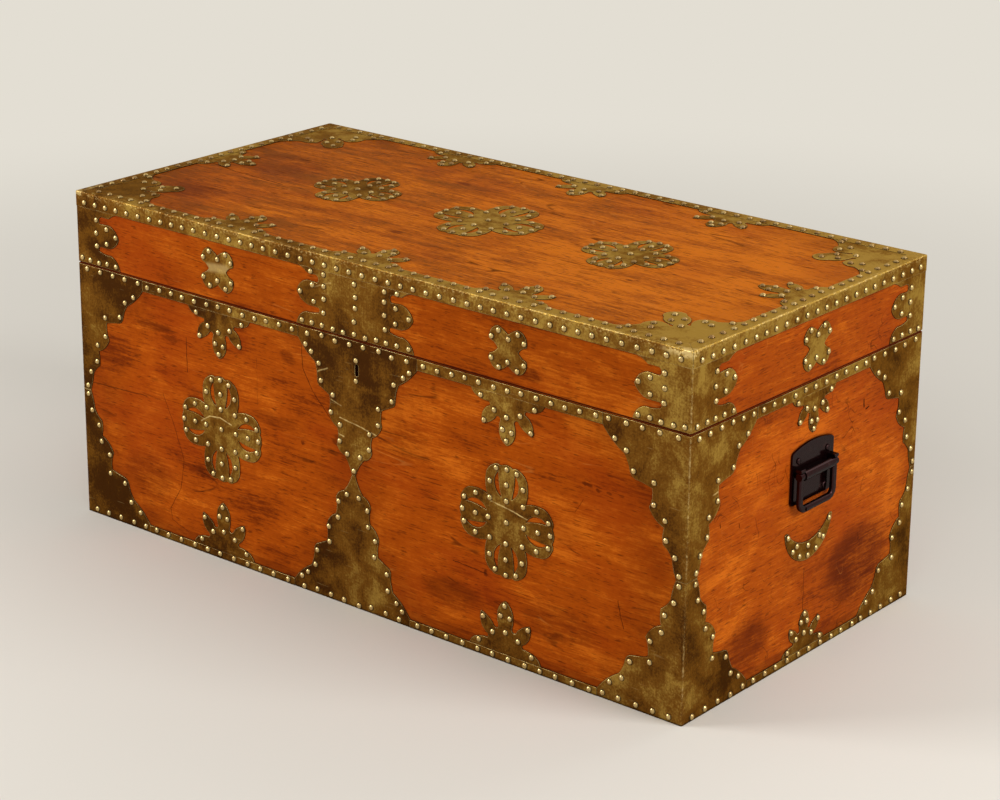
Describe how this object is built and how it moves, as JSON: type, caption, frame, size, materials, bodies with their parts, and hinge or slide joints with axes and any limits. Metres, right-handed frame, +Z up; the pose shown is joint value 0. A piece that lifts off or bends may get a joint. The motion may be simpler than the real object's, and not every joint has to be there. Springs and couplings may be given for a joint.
{
  "type": "brass-bound storage chest",
  "caption": "Rectangular hardwood trunk bound with scalloped sheet brass and rows of domed brass nails, with a hinged lid, a box lock and iron end handles.",
  "frame": {"origin": "middle of the underside of the box", "axes": "+X along the length to the right, -Y towards the front, +Z up"},
  "size_m": [1.1008, 0.5379, 0.4882],
  "materials": {
    "dark_hardwood": "satin",
    "plain_deal": "matte",
    "aged_sheet_brass": "satin",
    "plain_brass": "satin",
    "brass_nails": "polished",
    "black_iron": "satin",
    "steel": "satin"
  },
  "bodies": {
    "chest": {"back_board": "dark_hardwood", "base_strips": "aged_sheet_brass", "bottom_boards": "plain_deal", "bottom_screws": "steel", "centre_plate": "aged_sheet_brass", "corner_plate_lower_back_left": "aged_sheet_brass", "corner_plate_lower_back_right": "aged_sheet_brass", "corner_plate_lower_front_left": "aged_sheet_brass", "corner_plate_lower_front_right": "aged_sheet_brass", "corner_plate_upper_back_left": "aged_sheet_brass", "corner_plate_upper_back_right": "aged_sheet_brass", "corner_plate_upper_front_left": "aged_sheet_brass", "corner_plate_upper_front_right": "aged_sheet_brass", "crescents": "aged_sheet_brass", "front_board": "dark_hardwood", "handle_plate_left": "black_iron", "handle_plate_right": "black_iron", "handle_screws": "black_iron", "hinge_leaves_box": "plain_brass", "hinge_pins": "steel", "hinge_screws_box": "steel", "leaf_plates_ends": "aged_sheet_brass", "leaf_plates_front": "aged_sheet_brass", "left_end_board": "dark_hardwood", "lock_case": "plain_brass", "lock_plate": "aged_sheet_brass", "lock_screws_box": "steel", "right_end_board": "dark_hardwood", "rim_strips": "aged_sheet_brass", "rosette_front_left": "aged_sheet_brass", "rosette_front_right": "aged_sheet_brass", "studs_back": "brass_nails", "studs_front": "brass_nails", "studs_left": "brass_nails", "studs_right": "brass_nails"},
    "lid": {"hinge_leaves_lid": "plain_brass", "hinge_screws_lid": "steel", "lid_back_rail": "dark_hardwood", "lid_centre_plate": "aged_sheet_brass", "lid_corner_plate_back_left": "aged_sheet_brass", "lid_corner_plate_back_right": "aged_sheet_brass", "lid_corner_plate_front_left": "aged_sheet_brass", "lid_corner_plate_front_right": "aged_sheet_brass", "lid_edge_strips": "aged_sheet_brass", "lid_front_rail": "dark_hardwood", "lid_left_rail": "dark_hardwood", "lid_quatrefoils": "aged_sheet_brass", "lid_right_rail": "dark_hardwood", "lid_studs_sides": "brass_nails", "lid_studs_top": "brass_nails", "lid_top_board": "dark_hardwood", "lid_top_corner_plates": "aged_sheet_brass", "lid_top_leaf_plates": "aged_sheet_brass", "lid_top_rosettes": "aged_sheet_brass", "lock_screws_lid": "steel", "lock_strike": "plain_brass"},
    "bail_left": {"handle_bail_left": "black_iron"},
    "bail_right": {"handle_bail_right": "black_iron"},
    "bolt": {"lock_bolt": "steel"}
  },
  "joints": [
    {"name": "lid_hinge", "type": "hinge", "parent": "chest", "child": "lid", "pos_m": [0, 0.2664, 0.38], "axis": [-1, 0, 0], "range_deg": [0, 100]},
    {"name": "bail_right_pivot", "type": "hinge", "parent": "chest", "child": "bail_right", "pos_m": [0.5438, 0.005, 0.262], "axis": [0, -1, 0], "range_deg": [0, 110]},
    {"name": "bail_left_pivot", "type": "hinge", "parent": "chest", "child": "bail_left", "pos_m": [-0.5438, 0.005, 0.262], "axis": [0, 1, 0], "range_deg": [0, 110]},
    {"name": "lock_bolt_slide", "type": "slide", "parent": "chest", "child": "bolt", "axis": [1, 0, 0], "range_m": [0, 0.01]}
  ]
}
